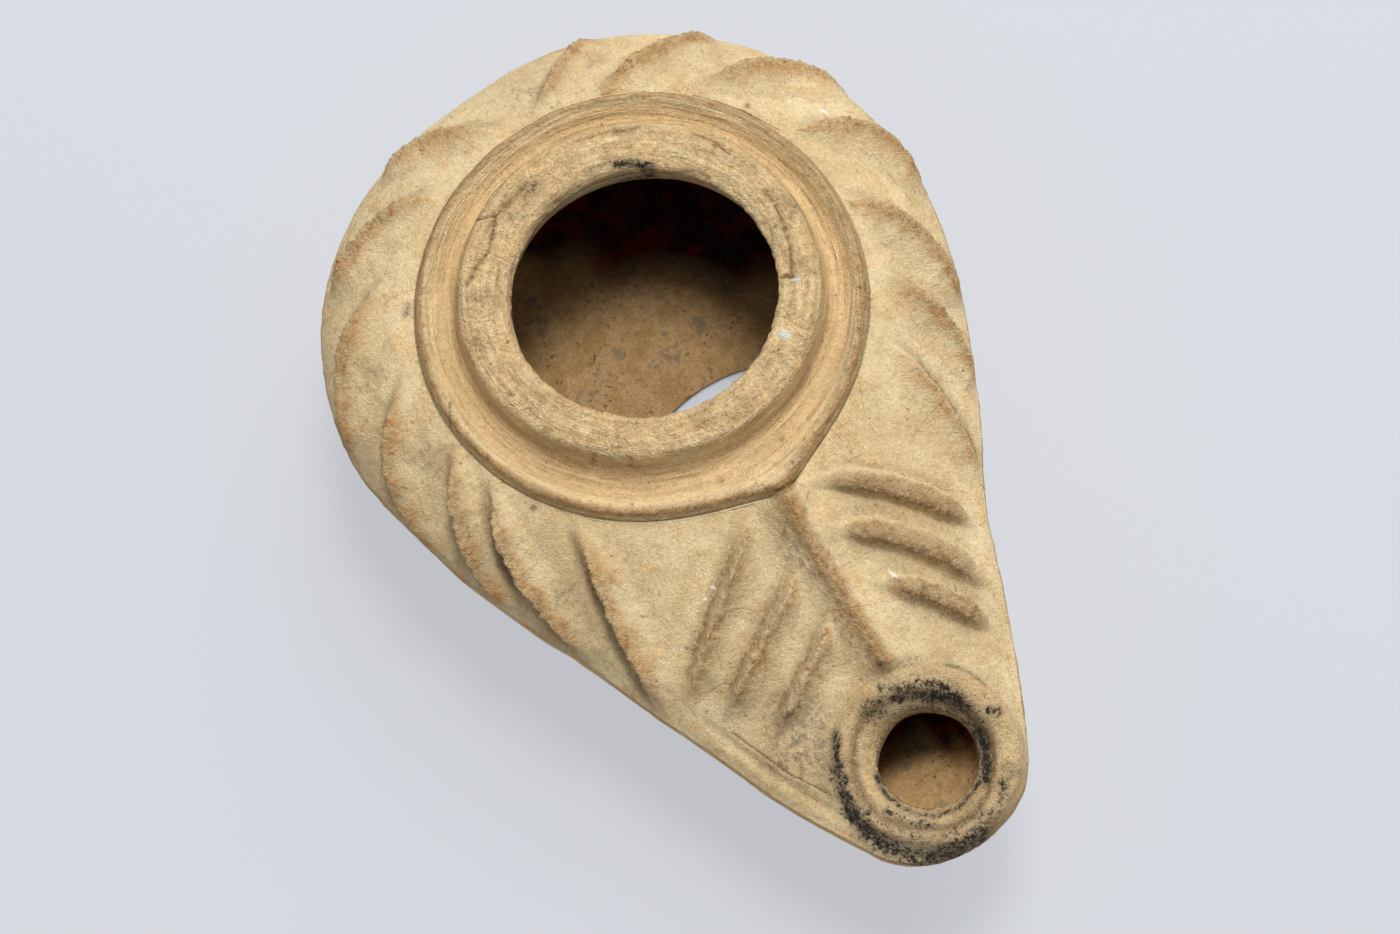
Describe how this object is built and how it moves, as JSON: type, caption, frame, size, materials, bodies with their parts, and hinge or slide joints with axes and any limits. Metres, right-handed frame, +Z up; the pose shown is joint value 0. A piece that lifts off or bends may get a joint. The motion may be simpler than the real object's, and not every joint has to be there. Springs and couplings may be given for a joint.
{
  "type": "roman oil lamp",
  "caption": "Almond-shaped mould-made clay oil lamp with a wide filling hole in a double ring, whirling ribs, a ridged nozzle and a rimmed wick hole.",
  "frame": {"origin": "middle of the lamp's bounding box, on the plane its foot stands on", "axes": "+Z up; -Y from the filling hole towards the nozzle; +X to the right of someone who looks along +Y"},
  "size_m": [0.0656, 0.0962, 0.0286],
  "materials": {
    "fired_clay": "matte unglazed cream-buff fired clay, worn, with soot at the nozzle",
    "plaster": "smooth matte white plaster"
  },
  "bodies": {
    "root": {"lamp": "fired_clay", "plaster_patch": "plaster"}
  },
  "joints": []
}
